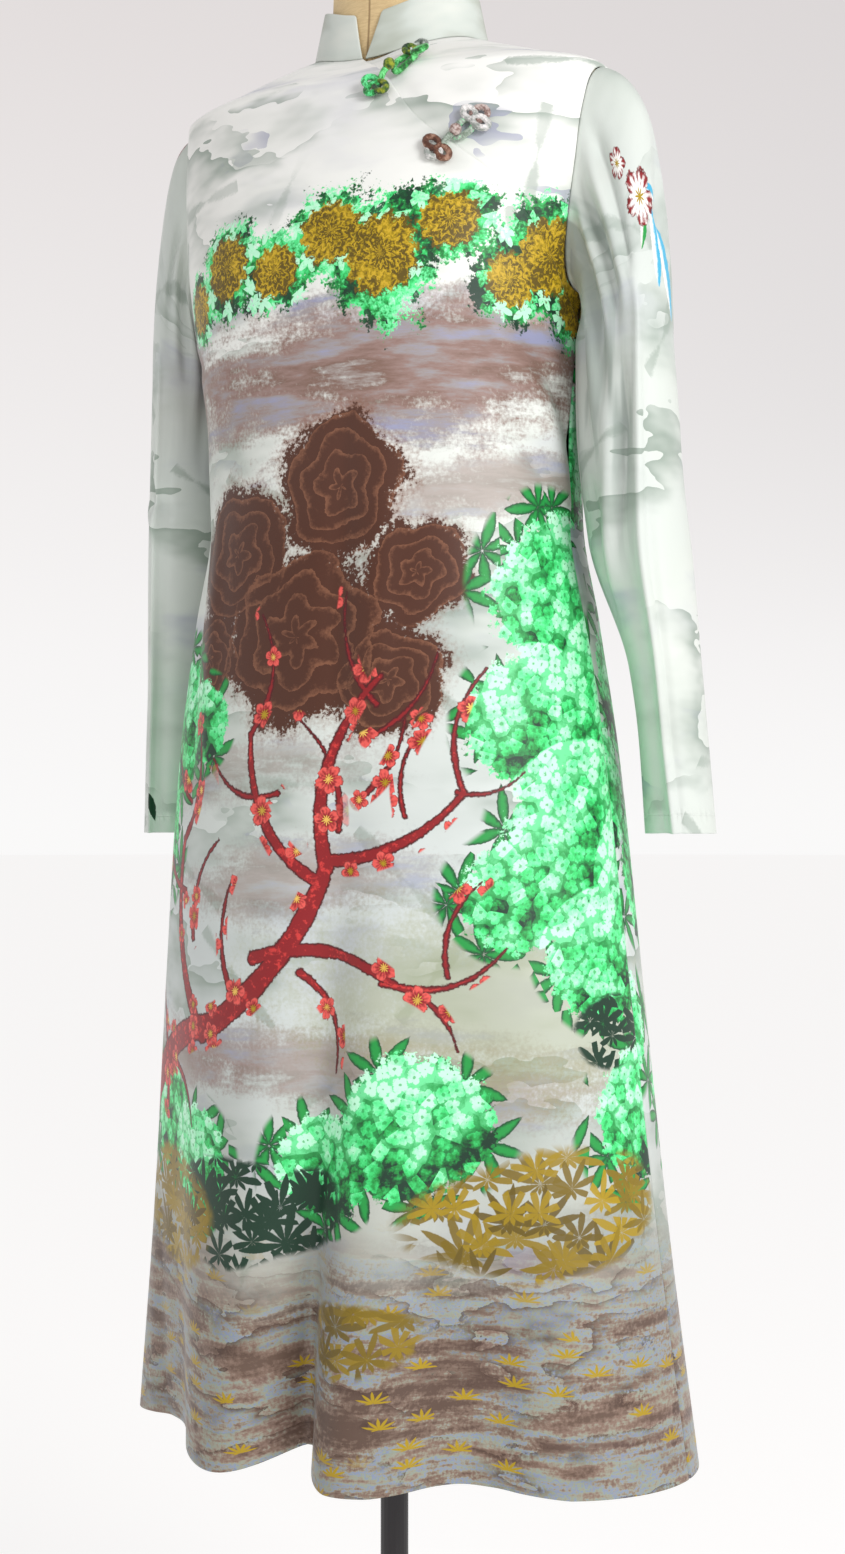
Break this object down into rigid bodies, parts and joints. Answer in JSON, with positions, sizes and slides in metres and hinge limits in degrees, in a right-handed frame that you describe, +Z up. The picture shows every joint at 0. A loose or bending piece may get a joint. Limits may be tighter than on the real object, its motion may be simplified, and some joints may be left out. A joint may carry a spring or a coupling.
{
  "type": "east asian dress on a limbless dress form with a stand",
  "caption": "Long-sleeved printed dress with a stand-up collar, slanting front closing and knotted cord frogs, worn by a limbless dress form on a pole with a round base.",
  "frame": {"origin": "centre of the base's underside, on the axis of the pole", "axes": "+Z up, the front of the dress faces -Y, the wearer's left is +X"},
  "size_m": [0.5062, 0.3481, 1.505],
  "materials": {
    "printed_cloth": "smooth knit cloth with a soft low sheen and a misty painted print of leaves and waves",
    "green_cord": "round cord of the printed cloth, green",
    "brown_cord": "round cord of the printed cloth, brown and pale grey",
    "form_cover": "smooth tan cover, matte",
    "stand_paint": "near-black satin paint"
  },
  "bodies": {
    "root": {"front": "printed_cloth", "left_front_underlap": "printed_cloth", "back": "printed_cloth", "sleeve_left": "printed_cloth", "sleeve_right": "printed_cloth", "collar": "printed_cloth", "frog_upper_button_half": "green_cord", "frog_upper_loop_half": "green_cord", "frog_lower_button_half": "brown_cord", "frog_lower_loop_half": "brown_cord", "dress_form": "form_cover", "stand_pole": "stand_paint", "stand_base": "stand_paint"}
  },
  "joints": []
}
